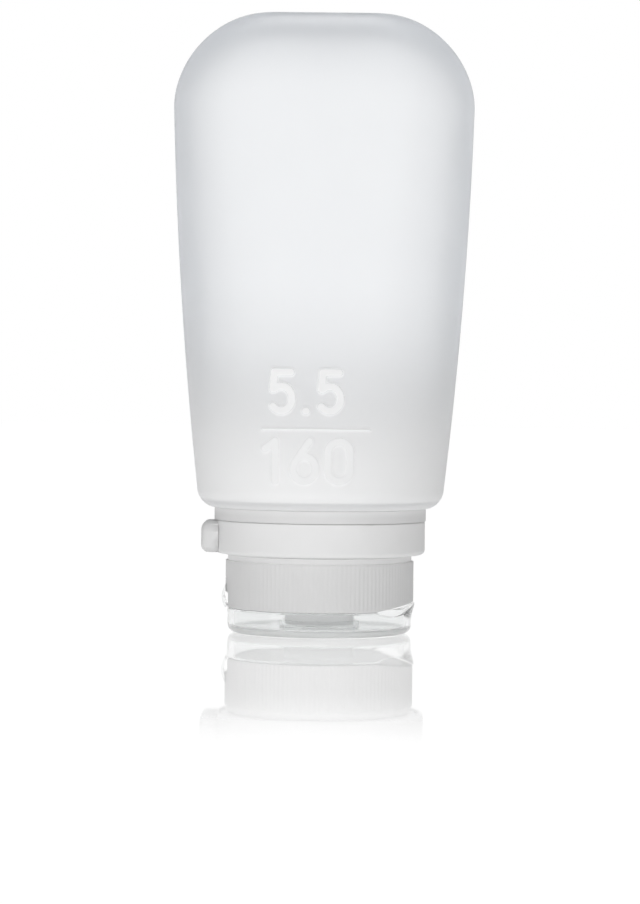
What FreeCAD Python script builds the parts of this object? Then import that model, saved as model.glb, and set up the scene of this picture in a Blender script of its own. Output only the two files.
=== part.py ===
"""Squeezable silicone travel bottle, standing on its closed flip lid.

The bottle's axis is Z, and the flat foot of the lid lies on Z = 0. From the floor up come the flip
lid, the screw cap with its spout, the turning name collar, the fixed ring that carries it, and the
silicone body, whose closed end is on top. The lid's hinge and the collar's window face -X, and the
thumb lip faces +X. Lengths are in millimetres.
"""
import FreeCAD, Part
import math
import os

import Sketcher

DOCUMENT = FreeCAD.newDocument("travel_bottle")

# Driving sizes. Each is one length that can be set by itself; everything else is worked out from these.
SIZES = {
    # Clearances: between turning pieces, between seated pieces, along the axis, and past a cut's face
    "running_gap": 0.3,
    "fit_gap": 0.05,
    "float_gap": 0.25,
    "overrun": 1.0,
    # Flip lid
    "lid_height": 5.0,
    "lid_inset": 0.33,
    "lid_taper": 0.14,
    "lid_wall": 1.24,
    "lid_floor": 1.4,
    "lid_corner": 2.2,
    "boss_radius": 2.6,
    "boss_height": 0.8,
    "seal_ring_wall": 0.8,
    "seal_ring_height": 1.4,
    "parting_gap": 0.15,
    # Thumb lip and thumb groove on the lid, and the slanted facet of the cap above them
    "lip_height": 2.97,
    "lip_rise": 1.17,
    "lip_reach": 0.67,
    "lip_lean": 0.75,
    "lip_radius": 17.6,
    "lip_root": 0.38,
    "groove_radius": 5.6,
    "groove_inset": 3.9,
    "groove_depth": 1.0,
    "facet_rise": 1.35,
    "facet_run": 7.8,
    # Screw cap
    "deck_thickness": 1.85,
    "cap_height": 10.6,
    "cap_wall": 1.56,
    "cap_rim_height": 1.05,
    "cap_rim_inset": 0.44,
    "rib_depth": 0.26,
    "rib_gap_width": 0.5,
    # Spout, valve and valve retainer
    "spout_radius": 7.0,
    "spout_bore": 4.6,
    "spout_height": 3.25,
    "spout_corner": 0.5,
    "seat_width": 1.2,
    "seat_depth": 1.1,
    "valve_flange": 0.8,
    "valve_sleeve": 0.8,
    "valve_inset": 0.7,
    "valve_skin": 0.8,
    "valve_dish": 0.5,
    "slit_length": 4.6,
    "slit_width": 0.15,
    "retainer_width": 1.6,
    "retainer_height": 0.7,
    # Hinge strap
    "strap_width": 8.0,
    "strap_thickness": 0.5,
    "strap_reach": 0.65,
    "strap_radius": 4.15,
    "strap_rise": 2.2,
    "strap_root": 0.35,
    "fold_radius": 0.25,
    "recess_depth": 0.81,
    "recess_height": 3.05,
    "recess_side": 0.6,
    # Liner
    "liner_thickness": 0.9,
    "liner_lap": 1.9,
    # Neck insert and its thread
    "neck_bore": 14.7,
    "neck_wall": 1.6,
    "neck_thread_height": 8.0,
    "sleeve_gap": 0.15,
    "sleeve_wall": 1.7,
    "sleeve_flare": 1.1,
    "insert_flange_width": 2.9,
    "insert_flange_thickness": 1.4,
    "catch_height": 0.35,
    "catch_rise": 3.3,
    "thread_height": 0.95,
    "thread_pitch": 3.0,
    "thread_root_width": 1.7,
    "thread_crest_width": 0.8,
    "thread_start": 1.3,
    # Index ring and name collar
    "cap_collar_gap": 0.3,
    "collar_height": 6.8,
    "collar_wall": 1.75,
    "collar_corner": 1.0,
    "collar_edge": 0.35,
    "ring_recess": 0.25,
    "ring_wall": 1.85,
    "ring_bead": 0.55,
    "ring_bead_height": 0.7,
    "ring_flange_height": 2.3,
    "ring_flange_lip": 0.15,
    "ring_edge": 0.4,
    # Window pad on the collar, and its window
    "pad_reach": 2.65,
    "pad_width": 13.6,
    "pad_edge": 0.25,
    "pad_corner": 2.2,
    "pad_rounding": 1.5,
    "window_width": 9.6,
    "window_height": 3.0,
    "window_corner": 0.9,
    "window_thickness": 1.2,
    "window_ledge": 0.6,
    "window_sink": 0.1,
    # Silicone body
    "body_wall": 2.0,
    "mouth_lip": 2.8,
    "shoulder_overhang": 3.6,
    "shoulder_corner": 4.3,
    "flank_length": 76.8,
    "belly_swell": 5.35,
    "depth_taper": 4.85,
    "shoulder_flat": 0.5,
    "belly_corner": 18.9,
    "end_height": 18.57,
    "end_run": 18.0,
    "end_depth_run": 11.2,
    "end_corner": 3.0,
}

# Counts and shape shares, which have no length
RIB_COUNT = 128
NECK_TURNS = 1.5
CAP_TURNS = 1.25
FULL_TURN = 360.0
QUARTER_TURN = 90.0
LIP_ANGLE = 84.0
FLANK_STATIONS = 4
FLANK_BOW_SHARE = 0.59
DEPTH_POWER = 1.7
SHOULDER_ANGLES = (90.0, 60.0, 30.0, 0.0)
SAME_PLACE_SHARE = 0.01
END_STATIONS = 7
END_POWER = 2.0 / 1.894


class Size:
    """A length that knows its value and the formula that binds it to the sheet."""

    def __init__(self, value, formula):
        self.value = value
        self.formula = formula

    def __add__(self, other):
        return Size(self.value + other.value, f"({self.formula} + {other.formula})")

    def __sub__(self, other):
        return Size(self.value - other.value, f"({self.formula} - {other.formula})")

    def __mul__(self, share):
        return Size(self.value * share, f"({self.formula} * {share!r})")

    def __truediv__(self, share):
        return Size(self.value / share, f"({self.formula} / {share!r})")

    def __neg__(self):
        return Size(-self.value, f"(-1 * {self.formula})")

    def over(self, part, whole):
        """This length times the ratio of two others."""
        value = self.value * part.value / whole.value
        return Size(value, f"({self.formula} * {part.formula} / {whole.formula})")


def fill_sheet():
    """Writes the driving sizes to a sheet, one named row each, and returns them as bound sizes."""
    sheet = DOCUMENT.addObject("Spreadsheet::Sheet", "Sizes")
    bound = {}
    for row, (name, value) in enumerate(SIZES.items(), start=1):
        sheet.set(f"A{row}", name)
        sheet.set(f"B{row}", str(value))
        sheet.setAlias(f"B{row}", name)
        bound[name] = Size(value, f"Sizes.{name}")
    DOCUMENT.recompute()
    return bound


SIZE = fill_sheet()
ZERO = Size(0.0, "0")


def stack(*names):
    """The sum of some driving sizes, named in order."""
    total = ZERO
    for name in names:
        total = total + SIZE[name]
    return total


# Heights above the floor, from the lid's foot to the bottle's closed end
CAP_BOTTOM = stack("lid_height", "parting_gap")
DECK_TOP = CAP_BOTTOM + SIZE["deck_thickness"]
NECK_RIM = DECK_TOP + SIZE["liner_thickness"]
CAP_TOP = CAP_BOTTOM + SIZE["cap_height"]
COLLAR_BOTTOM = CAP_TOP + SIZE["cap_collar_gap"]
COLLAR_TOP = COLLAR_BOTTOM + SIZE["collar_height"]
RING_BOTTOM = COLLAR_BOTTOM + SIZE["ring_recess"]
RING_LEDGE = COLLAR_TOP + SIZE["float_gap"]
SHOULDER = RING_LEDGE + SIZE["ring_flange_height"]
LIP_TOP = SHOULDER + SIZE["mouth_lip"]
INSERT_TOP = LIP_TOP + SIZE["insert_flange_thickness"]
FLANK_LOW = SHOULDER + SIZE["shoulder_corner"]
BELLY = FLANK_LOW + SIZE["flank_length"]

# Radii, from the neck's bore outwards
NECK_ROOT = stack("neck_bore", "neck_wall")
NECK_CREST = NECK_ROOT + SIZE["thread_height"]
SLEEVE_RADIUS = NECK_CREST + SIZE["sleeve_gap"]
CAP_INNER = NECK_CREST + SIZE["running_gap"]
CAP_CREST = NECK_ROOT + SIZE["running_gap"]
CAP_RADIUS = CAP_INNER + SIZE["cap_wall"]
LID_RADIUS = CAP_RADIUS - SIZE["lid_inset"]
LID_FOOT_RADIUS = LID_RADIUS - SIZE["lid_taper"]
LID_INNER = LID_FOOT_RADIUS - SIZE["lid_wall"]
DRUM_RADIUS = SLEEVE_RADIUS + SIZE["fit_gap"] + SIZE["ring_wall"]
BEAD_RADIUS = DRUM_RADIUS + SIZE["ring_bead"]
COLLAR_BORE = DRUM_RADIUS + SIZE["running_gap"]
COLLAR_RADIUS = COLLAR_BORE + SIZE["collar_wall"]
RING_RADIUS = COLLAR_RADIUS + SIZE["ring_flange_lip"]
SHOULDER_RADIUS = RING_RADIUS + SIZE["shoulder_overhang"]
SEAT_RADIUS = stack("spout_bore", "seat_width")
SEAT_HEIGHT = DECK_TOP - SIZE["seat_depth"]


def new_body(label):
    """An empty body, whose label names the piece."""
    body = DOCUMENT.addObject("PartDesign::Body", label)
    body.Label = label
    return body


def origin_plane(body, role):
    """One of the body's own origin planes."""
    return next(plane for plane in body.Origin.OriginFeatures if plane.Role == role)


def new_sketch(body, name, role, lift=ZERO):
    """A sketch on one of the body's origin planes, lifted off it along the plane's normal."""
    sketch = body.newObject("Sketcher::SketchObject", name)
    sketch.AttachmentSupport = [(origin_plane(body, role), "")]
    sketch.MapMode = "FlatFace"
    sketch.setExpression("AttachmentOffset.Base.z", lift.formula)
    return sketch


def pin(sketch, geometry, end, across, along, name):
    """Ties one end of a sketch line or arc to a place measured from the sketch's origin."""
    for axis, other_axis, distance in (("X", -2, across), ("Y", -1, along)):
        if distance is ZERO:
            sketch.addConstraint(Sketcher.Constraint("PointOnObject", geometry, end, other_axis))
            continue
        tie = Sketcher.Constraint(f"Distance{axis}", -1, 1, geometry, end, distance.value)
        index = sketch.addConstraint(tie)
        sketch.renameConstraint(index, f"{name}_{axis}")
        sketch.setExpression(f"Constraints.{name}_{axis}", distance.formula)


def polygon(body, name, role, corners, lift=ZERO):
    """A closed sketch of straight lines, each corner tied to its two sizes."""
    sketch = new_sketch(body, name, role, lift)
    vectors = [FreeCAD.Vector(across.value, along.value, 0) for across, along in corners]
    ends = vectors[1:] + vectors[:1]
    sketch.addGeometry([Part.LineSegment(start, end) for start, end in zip(vectors, ends)])
    count = len(corners)
    joins = [Sketcher.Constraint("Coincident", i, 2, (i + 1) % count, 1) for i in range(count)]
    sketch.addConstraint(joins)
    for i, (across, along) in enumerate(corners):
        pin(sketch, i, 1, across, along, f"corner{i}")
    return sketch


def circle(body, name, radius, lift, centre=ZERO, role="XY_Plane", height=ZERO):
    """A sketch of one circle, its centre some way along the sketch's two axes."""
    sketch = new_sketch(body, name, role, lift)
    middle = FreeCAD.Vector(centre.value, height.value, 0)
    sketch.addGeometry(Part.Circle(middle, FreeCAD.Vector(0, 0, 1), radius.value))
    pin(sketch, 0, 3, centre, height, "centre")
    index = sketch.addConstraint(Sketcher.Constraint("Radius", 0, radius.value))
    sketch.renameConstraint(index, "radius")
    sketch.setExpression("Constraints.radius", radius.formula)
    return sketch


def rounded_box(body, name, role, lift, half_width, half_height, corner, middle=ZERO):
    """A sketch of a rectangle with four round corners, centred across and lifted to middle."""
    sketch = new_sketch(body, name, role, lift)
    wide = half_width.value
    high = half_height.value
    turn = corner.value
    level = middle.value
    normal = FreeCAD.Vector(0, 0, 1)
    arms = ((1, 1), (-1, 1), (-1, -1), (1, -1))
    for quarter, (side, end) in enumerate(arms):
        centre = FreeCAD.Vector(side * (wide - turn), level + end * (high - turn), 0)
        arc = Part.Circle(centre, normal, turn)
        sketch.addGeometry(Part.ArcOfCircle(arc, quarter * math.pi / 2, (quarter + 1) * math.pi / 2))
    arcs = range(len(arms))
    for i in arcs:
        start = sketch.getPoint(i, 2)
        end = sketch.getPoint((i + 1) % len(arms), 1)
        line = sketch.addGeometry(Part.LineSegment(start, end))
        sketch.addConstraint(Sketcher.Constraint("Tangent", i, 2, line, 1))
        sketch.addConstraint(Sketcher.Constraint("Tangent", line, 2, (i + 1) % len(arms), 1))
        direction = "Horizontal" if i % 2 == 0 else "Vertical"
        sketch.addConstraint(Sketcher.Constraint(direction, line))
    for i in arcs[1:]:
        sketch.addConstraint(Sketcher.Constraint("Equal", 0, i))
    ties = {
        "corner": (Sketcher.Constraint("Radius", 0, turn), corner),
        "right": (Sketcher.Constraint("DistanceX", -1, 1, 0, 1, wide), half_width),
        "left": (Sketcher.Constraint("DistanceX", -1, 1, 2, 1, -wide), -half_width),
        "top": (Sketcher.Constraint("DistanceY", -1, 1, 1, 1, level + high), middle + half_height),
        "bottom": (Sketcher.Constraint("DistanceY", -1, 1, 3, 1, level - high), middle - half_height),
    }
    for tie_name, (tie, distance) in ties.items():
        index = sketch.addConstraint(tie)
        sketch.renameConstraint(index, tie_name)
        sketch.setExpression(f"Constraints.{tie_name}", distance.formula)
    return sketch


def turned(body, name, corners, kind="Revolution", angle=FULL_TURN, shift=ZERO):
    """Turns a profile of (radius, height) corners about Z: adds to the body or, as a Groove, cuts it.

    A shift moves the axis along X.
    """
    sketch = polygon(body, f"{name}_profile", "XZ_Plane", corners)
    sketch.setExpression("AttachmentOffset.Base.x", shift.formula)
    feature = body.newObject(f"PartDesign::{kind}", name)
    feature.Profile = sketch
    feature.ReferenceAxis = (sketch, ["V_Axis"])
    feature.Angle = angle
    feature.Midplane = angle < FULL_TURN
    body.Tip = feature
    DOCUMENT.recompute()
    return feature


def box_corners(inner, outer, low, high):
    """The four corners of a profile that spans two radii and two heights."""
    return [(inner, low), (outer, low), (outer, high), (inner, high)]


def straight(body, name, sketch, length, kind="Pad", reverse=False):
    """Pads or pockets a sketch by a bound length."""
    feature = body.newObject(f"PartDesign::{kind}", name)
    feature.Profile = sketch
    feature.setExpression("Length", length.formula)
    feature.Reversed = reverse
    body.Tip = feature
    DOCUMENT.recompute()
    return feature


def lofted(body, name, sections, kind="AdditiveLoft"):
    """A smooth skin through a list of section sketches, bottom first."""
    feature = body.newObject(f"PartDesign::{kind}", name)
    feature.Profile = sections[0]
    feature.Sections = sections[1:]
    body.Tip = feature
    DOCUMENT.recompute()
    return feature


def round_edges(body, name, radius, chosen):
    """Fillets the edges of the body's last feature that chosen says yes to."""
    base = body.Tip
    names = [f"Edge{i}" for i, edge in enumerate(base.Shape.Edges, start=1) if chosen(edge)]
    fillet = body.newObject("PartDesign::Fillet", name)
    fillet.Base = (base, names)
    fillet.setExpression("Radius", radius.formula)
    body.Tip = fillet
    DOCUMENT.recompute()
    return fillet


def near(first, second):
    """True where two lengths agree to well within a hair."""
    return math.isclose(first, second, abs_tol=SIZES["fit_gap"] * SAME_PLACE_SHARE)


def ring_edge(radius, height):
    """Picks the full circles of one radius at one height."""

    def chosen(edge):
        curve = edge.Curve
        if not isinstance(curve, Part.Circle):
            return False
        return near(curve.Radius, radius.value) and near(curve.Center.z, height.value)

    return chosen


def thread(body, name, root, crest, turns):
    """A helical thread of trapezoid section, from a root radius to a crest radius.

    The section starts on +X for positive radii and on -X for negative ones, half a turn further on.
    """
    low = NECK_RIM + SIZE["thread_start"]
    root_half = SIZE["thread_root_width"] / 2
    crest_half = SIZE["thread_crest_width"] / 2
    corners = [
        (root, low - root_half),
        (crest, low - crest_half),
        (crest, low + crest_half),
        (root, low + root_half),
    ]
    sketch = polygon(body, f"{name}_profile", "XZ_Plane", corners)
    helix = body.newObject("PartDesign::AdditiveHelix", name)
    helix.Profile = sketch
    helix.ReferenceAxis = (sketch, ["V_Axis"])
    helix.Mode = "pitch-turns-angle"
    helix.setExpression("Pitch", SIZE["thread_pitch"].formula)
    helix.Turns = turns
    body.Tip = helix
    DOCUMENT.recompute()
    return helix


def make_flip_lid():
    """Clear lid: a shallow cup with a thumb lip and groove, a valve boss and a ring round the spout."""
    body = new_body("flip_lid")
    height = SIZE["lid_height"]
    floor = SIZE["lid_floor"]
    turned(body, "lid_blank", [(ZERO, ZERO), (LID_FOOT_RADIUS, ZERO), (LID_RADIUS, height), (ZERO, height)])
    round_edges(body, "lid_foot_corner", SIZE["lid_corner"], ring_edge(LID_FOOT_RADIUS, ZERO))

    # The lip is a flared disc, off the lid's axis, that breaks through the lid's wall on +X
    lip_top = height + SIZE["lip_rise"]
    lip_low = lip_top - SIZE["lip_height"]
    lip_centre = LID_RADIUS + SIZE["lip_reach"] - SIZE["lip_radius"]
    lip_low_radius = SIZE["lip_radius"] - SIZE["lip_lean"]
    lip = [(ZERO, lip_low), (lip_low_radius, lip_low), (SIZE["lip_radius"], lip_top), (ZERO, lip_top)]
    turned(body, "thumb_lip", lip, shift=lip_centre)
    clear = lip_top + SIZE["overrun"]
    outside = LID_RADIUS + SIZE["lip_reach"] + SIZE["overrun"]
    lip_inner = LID_RADIUS - SIZE["lip_root"]
    beside_lip = box_corners(-(lip_inner - SIZE["fit_gap"]), -outside, height, clear)
    turned(body, "beside_lip", beside_lip, "Groove", FULL_TURN - LIP_ANGLE)

    seal_inner = SIZE["spout_radius"] + SIZE["running_gap"]
    seal_outer = seal_inner + SIZE["seal_ring_wall"]
    seal_top = floor + SIZE["seal_ring_height"]
    boss_top = floor + SIZE["boss_height"]
    hollow = [
        (ZERO, boss_top),
        (SIZE["boss_radius"], boss_top),
        (SIZE["boss_radius"], floor),
        (seal_inner, floor),
        (seal_inner, seal_top),
        (seal_outer, seal_top),
        (seal_outer, floor),
        (LID_INNER, floor),
        (LID_INNER, height),
        (lip_inner, height),
        (lip_inner, clear),
        (ZERO, clear),
    ]
    turned(body, "lid_hollow", hollow, "Groove")

    # The thumb groove runs right across behind the lip, along Y
    groove_middle = height - SIZE["groove_depth"] + SIZE["groove_radius"]
    groove = circle(
        body,
        "groove_outline",
        SIZE["groove_radius"],
        -outside,
        LID_RADIUS - SIZE["groove_inset"],
        "XZ_Plane",
        groove_middle,
    )
    straight(body, "thumb_groove", groove, outside * 2, "Pocket", reverse=True)
    return body


def make_screw_cap():
    """Frosted cap: deck with spout and thumb facet, ribbed skirt, and the thread that grips the neck."""
    body = new_body("screw_cap")
    spout_low = CAP_BOTTOM - SIZE["spout_height"]
    skirt_top = CAP_TOP - SIZE["cap_rim_height"]
    rim_radius = CAP_RADIUS - SIZE["cap_rim_inset"]
    profile = [
        (SIZE["spout_bore"], spout_low),
        (SIZE["spout_radius"], spout_low),
        (SIZE["spout_radius"], CAP_BOTTOM),
        (CAP_RADIUS, CAP_BOTTOM),
        (CAP_RADIUS, skirt_top),
        (rim_radius, skirt_top),
        (rim_radius, CAP_TOP),
        (CAP_INNER, CAP_TOP),
        (CAP_INNER, DECK_TOP),
        (SEAT_RADIUS, DECK_TOP),
        (SEAT_RADIUS, SEAT_HEIGHT),
        (SIZE["spout_bore"], SEAT_HEIGHT),
    ]
    turned(body, "cap_blank", profile)
    round_edges(body, "spout_mouth", SIZE["spout_corner"], ring_edge(SIZE["spout_radius"], spout_low))
    thread(body, "cap_thread", -(CAP_INNER + SIZE["fit_gap"]), -CAP_CREST, CAP_TURNS)

    # Slanted facet above the thumb groove, and a flat recess behind the hinge strap
    outside = CAP_RADIUS + SIZE["overrun"]
    below = CAP_BOTTOM - SIZE["float_gap"]
    facet_start = CAP_RADIUS - SIZE["facet_run"]
    facet_top = CAP_BOTTOM + SIZE["facet_rise"]
    facet = [
        (facet_start, below),
        (outside, below),
        (outside, facet_top),
        (CAP_RADIUS, facet_top),
        (facet_start, CAP_BOTTOM),
    ]
    facet_sketch = polygon(body, "facet_outline", "XZ_Plane", facet, -outside)
    straight(body, "thumb_facet", facet_sketch, outside * 2, "Pocket", reverse=True)
    recess_half = SIZE["strap_width"] / 2 + SIZE["recess_side"]
    recess_floor = -(CAP_RADIUS - SIZE["recess_depth"])
    recess = [
        (-outside, -recess_half),
        (recess_floor, -recess_half),
        (recess_floor, recess_half),
        (-outside, recess_half),
    ]
    recess_sketch = polygon(body, "hinge_recess_outline", "XY_Plane", recess, CAP_BOTTOM)
    straight(body, "hinge_recess", recess_sketch, SIZE["recess_height"], "Pocket", reverse=True)

    # Grip ribs: one V cut down the skirt, repeated all round
    cut_half = SIZE["rib_gap_width"] / 2
    cut = [
        (CAP_RADIUS - SIZE["rib_depth"], ZERO),
        (CAP_RADIUS + SIZE["fit_gap"], -cut_half),
        (CAP_RADIUS + SIZE["fit_gap"], cut_half),
    ]
    cut_sketch = polygon(body, "rib_outline", "XY_Plane", cut, CAP_BOTTOM)
    first_cut = straight(body, "rib_cut", cut_sketch, skirt_top - CAP_BOTTOM, "Pocket", reverse=True)
    pattern = body.newObject("PartDesign::PolarPattern", "ribs")
    pattern.Originals = [first_cut]
    pattern.Axis = (cut_sketch, ["N_Axis"])
    pattern.Angle = FULL_TURN
    pattern.Occurrences = RIB_COUNT
    body.Tip = pattern
    DOCUMENT.recompute()
    return body


def make_spout_valve():
    """No-drip valve: a silicone cup held by its flange, with a dished end cut by a cross slit."""
    body = new_body("spout_valve")
    outer = SIZE["spout_bore"] - SIZE["fit_gap"]
    inner = outer - SIZE["valve_sleeve"]
    flange = SEAT_RADIUS - SIZE["fit_gap"]
    flange_top = SEAT_HEIGHT + SIZE["valve_flange"]
    low = CAP_BOTTOM - SIZE["spout_height"] + SIZE["valve_inset"]
    skin_top = low + SIZE["valve_skin"]
    profile = [
        (ZERO, low + SIZE["valve_dish"]),
        (inner, low),
        (outer, low),
        (outer, SEAT_HEIGHT),
        (flange, SEAT_HEIGHT),
        (flange, flange_top),
        (inner, flange_top),
        (inner, skin_top),
        (ZERO, skin_top + SIZE["valve_dish"]),
    ]
    turned(body, "valve_cup", profile)
    half_long = SIZE["slit_length"] / 2
    half_wide = SIZE["slit_width"] / 2
    through = SIZE["valve_skin"] + SIZE["valve_dish"] + SIZE["valve_dish"]
    for name, across, along in (("slit_x", half_long, half_wide), ("slit_y", half_wide, half_long)):
        outline = [(-across, -along), (across, -along), (across, along), (-across, along)]
        sketch = polygon(body, f"{name}_outline", "XY_Plane", outline, low - SIZE["valve_dish"])
        straight(body, name, sketch, through + SIZE["valve_dish"], "Pocket", reverse=True)
    return body


def make_valve_retainer():
    """Snap ring that presses the valve's flange into its seat from inside the cap."""
    body = new_body("valve_retainer")
    inner = SIZE["spout_bore"] - SIZE["fit_gap"] - SIZE["valve_sleeve"]
    plug = SEAT_RADIUS - SIZE["fit_gap"]
    low = SEAT_HEIGHT + SIZE["valve_flange"]
    outer = SEAT_RADIUS + SIZE["retainer_width"]
    top = DECK_TOP + SIZE["retainer_height"]
    profile = [(inner, low), (plug, low), (plug, DECK_TOP), (outer, DECK_TOP), (outer, top), (inner, top)]
    turned(body, "retainer_ring", profile)
    return body


def make_hinge_strap():
    """Bowed film between cap and lid: a slice of a thin tube along Y, with a fold groove inside its bow."""
    reach = CAP_RADIUS + SIZE["strap_reach"]
    centre = -(reach - SIZE["strap_radius"])
    middle = CAP_BOTTOM + SIZE["strap_rise"]
    half_width = SIZE["strap_width"] / 2

    def bar(name, radius, across, height):
        """A round bar along Y, as long as the strap is wide."""
        cylinder = DOCUMENT.addObject("Part::Cylinder", name)
        cylinder.Placement.Rotation = FreeCAD.Rotation(FreeCAD.Vector(1, 0, 0), QUARTER_TURN)
        cylinder.setExpression("Radius", radius.formula)
        cylinder.setExpression("Height", SIZE["strap_width"].formula)
        cylinder.setExpression("Placement.Base.x", across.formula)
        cylinder.setExpression("Placement.Base.y", half_width.formula)
        cylinder.setExpression("Placement.Base.z", height.formula)
        return cylinder

    def cut(name, base, tool):
        """The first shape less the second."""
        result = DOCUMENT.addObject("Part::Cut", name)
        result.Base = base
        result.Tool = tool
        return result

    outside = bar("strap_outside", SIZE["strap_radius"], centre, middle)
    inside = bar("strap_inside", SIZE["strap_radius"] - SIZE["strap_thickness"], centre, middle)
    groove = bar("strap_fold", SIZE["fold_radius"], -(reach - SIZE["strap_thickness"]), middle)
    tube = cut("strap_tube", outside, inside)
    folded = cut("strap_folded", tube, groove)

    # Keeps the stretch from the lid's rim up to the root in the cap's skirt
    low = SIZE["lid_height"] + SIZE["fit_gap"]
    root = -(CAP_RADIUS - SIZE["recess_depth"] + SIZE["strap_root"])
    frame = DOCUMENT.addObject("Part::Box", "strap_frame")
    frame.setExpression("Length", (root + reach + SIZE["overrun"]).formula)
    frame.setExpression("Width", SIZE["strap_width"].formula)
    frame.setExpression("Height", (middle + SIZE["strap_radius"] - low).formula)
    frame.setExpression("Placement.Base.x", (-(reach + SIZE["overrun"])).formula)
    frame.setExpression("Placement.Base.y", (-half_width).formula)
    frame.setExpression("Placement.Base.z", low.formula)
    strap = DOCUMENT.addObject("Part::Common", "hinge_strap")
    strap.Base = folded
    strap.Tool = frame
    strap.Label = "hinge_strap"
    DOCUMENT.recompute()
    return strap


def make_cap_liner():
    """Flat sealing washer between the cap's deck and the neck's rim."""
    body = new_body("cap_liner")
    outer = CAP_CREST - SIZE["running_gap"]
    inner = SIZE["neck_bore"] - SIZE["liner_lap"]
    turned(body, "washer", box_corners(inner, outer, DECK_TOP, NECK_RIM))
    return body


def make_neck_insert():
    """Rigid neck: threaded tube, wider sleeve through the silicone mouth, and a flange inside it."""
    body = new_body("neck_insert")
    step = NECK_RIM + SIZE["neck_thread_height"]
    sleeve_bore = SLEEVE_RADIUS - SIZE["sleeve_wall"]
    flange = SLEEVE_RADIUS + SIZE["insert_flange_width"]
    catch = SIZE["catch_height"]
    catch_middle = step + SIZE["catch_rise"]
    profile = [
        (SIZE["neck_bore"], NECK_RIM),
        (NECK_ROOT, NECK_RIM),
        (NECK_ROOT, step),
        (SLEEVE_RADIUS, step),
        (SLEEVE_RADIUS, catch_middle - catch),
        (SLEEVE_RADIUS + catch, catch_middle),
        (SLEEVE_RADIUS, catch_middle + catch),
        (SLEEVE_RADIUS, LIP_TOP),
        (flange, LIP_TOP),
        (flange, INSERT_TOP),
        (sleeve_bore, INSERT_TOP),
        (sleeve_bore, step + SIZE["sleeve_flare"]),
        (SIZE["neck_bore"], step),
    ]
    turned(body, "neck_tube", profile)
    thread(body, "neck_thread", NECK_ROOT - SIZE["fit_gap"], NECK_CREST, NECK_TURNS)
    return body


def make_index_ring():
    """Fixed ring under the shoulder, with the drum and snap bead that the collar turns on."""
    body = new_body("index_ring")
    bore = SLEEVE_RADIUS + SIZE["fit_gap"]
    catch = SIZE["catch_height"]
    catch_middle = NECK_RIM + SIZE["neck_thread_height"] + SIZE["catch_rise"]
    bead_top = RING_BOTTOM + SIZE["ring_bead_height"]
    profile = [
        (bore, RING_BOTTOM),
        (BEAD_RADIUS, RING_BOTTOM),
        (BEAD_RADIUS, bead_top),
        (DRUM_RADIUS, bead_top),
        (DRUM_RADIUS, RING_LEDGE),
        (RING_RADIUS, RING_LEDGE),
        (RING_RADIUS, SHOULDER),
        (bore, SHOULDER),
        (bore, catch_middle + catch),
        (bore + catch, catch_middle),
        (bore, catch_middle - catch),
    ]
    turned(body, "ring_blank", profile)
    round_edges(body, "ring_lower_edge", SIZE["ring_edge"], ring_edge(RING_RADIUS, RING_LEDGE))
    round_edges(body, "ring_upper_edge", SIZE["ring_edge"], ring_edge(RING_RADIUS, SHOULDER))
    return body


def window_middle():
    """Height of the middle of the collar's window."""
    return COLLAR_BOTTOM + SIZE["collar_height"] / 2


def window_face():
    """How far the pad's flat face stands from the axis."""
    return COLLAR_RADIUS + SIZE["pad_reach"]


def make_id_collar():
    """Turning collar: a snap-on band with a raised pad on -X, cut through for the window."""
    body = new_body("id_collar")
    ledge = RING_BOTTOM + SIZE["ring_bead_height"] + SIZE["float_gap"]
    relief = BEAD_RADIUS + SIZE["running_gap"]
    profile = [
        (relief, COLLAR_BOTTOM),
        (COLLAR_RADIUS, COLLAR_BOTTOM),
        (COLLAR_RADIUS, COLLAR_TOP),
        (COLLAR_BORE, COLLAR_TOP),
        (COLLAR_BORE, ledge),
        (relief, ledge),
    ]
    turned(body, "collar_band", profile)
    round_edges(body, "collar_lower_edge", SIZE["collar_corner"], ring_edge(COLLAR_RADIUS, COLLAR_BOTTOM))
    round_edges(body, "collar_upper_edge", SIZE["collar_edge"], ring_edge(COLLAR_RADIUS, COLLAR_TOP))

    # The pad stands on the band, and is rounded before the window is cut
    half_height = SIZE["collar_height"] / 2 - SIZE["pad_edge"]
    half_width = SIZE["pad_width"] / 2
    face = window_face()
    pad_sketch = rounded_box(
        body, "pad_outline", "YZ_Plane", -face, half_width, half_height, SIZE["pad_corner"], window_middle()
    )
    pad_depth = SIZE["pad_reach"] + SIZE["collar_wall"] / 2
    straight(body, "window_pad", pad_sketch, pad_depth)
    on_face = -face.value
    round_edges(
        body,
        "pad_rounding",
        SIZE["pad_rounding"],
        lambda edge: near(edge.BoundBox.XMin, on_face) and near(edge.BoundBox.XMax, on_face),
    )
    for name, shrink, depth in (
        ("window_seat", ZERO, SIZE["window_thickness"] + SIZE["window_sink"]),
        ("window_hole", SIZE["window_ledge"], SIZE["pad_reach"] + SIZE["collar_wall"] + SIZE["overrun"]),
    ):
        outline = rounded_box(
            body,
            f"{name}_outline",
            "YZ_Plane",
            -face,
            SIZE["window_width"] / 2 - shrink,
            SIZE["window_height"] / 2 - shrink,
            SIZE["window_corner"] - shrink / 2,
            window_middle(),
        )
        straight(body, name, outline, depth, "Pocket", reverse=True)
    return body


def make_collar_window():
    """Clear window that lies in the pad's seat."""
    body = new_body("collar_window")
    gap = SIZE["fit_gap"]
    outline = rounded_box(
        body,
        "window_outline",
        "YZ_Plane",
        -(window_face() - SIZE["window_sink"]),
        SIZE["window_width"] / 2 - gap,
        SIZE["window_height"] / 2 - gap,
        SIZE["window_corner"] - gap,
        window_middle(),
    )
    straight(body, "window_plate", outline, SIZE["window_thickness"])
    return body


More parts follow.
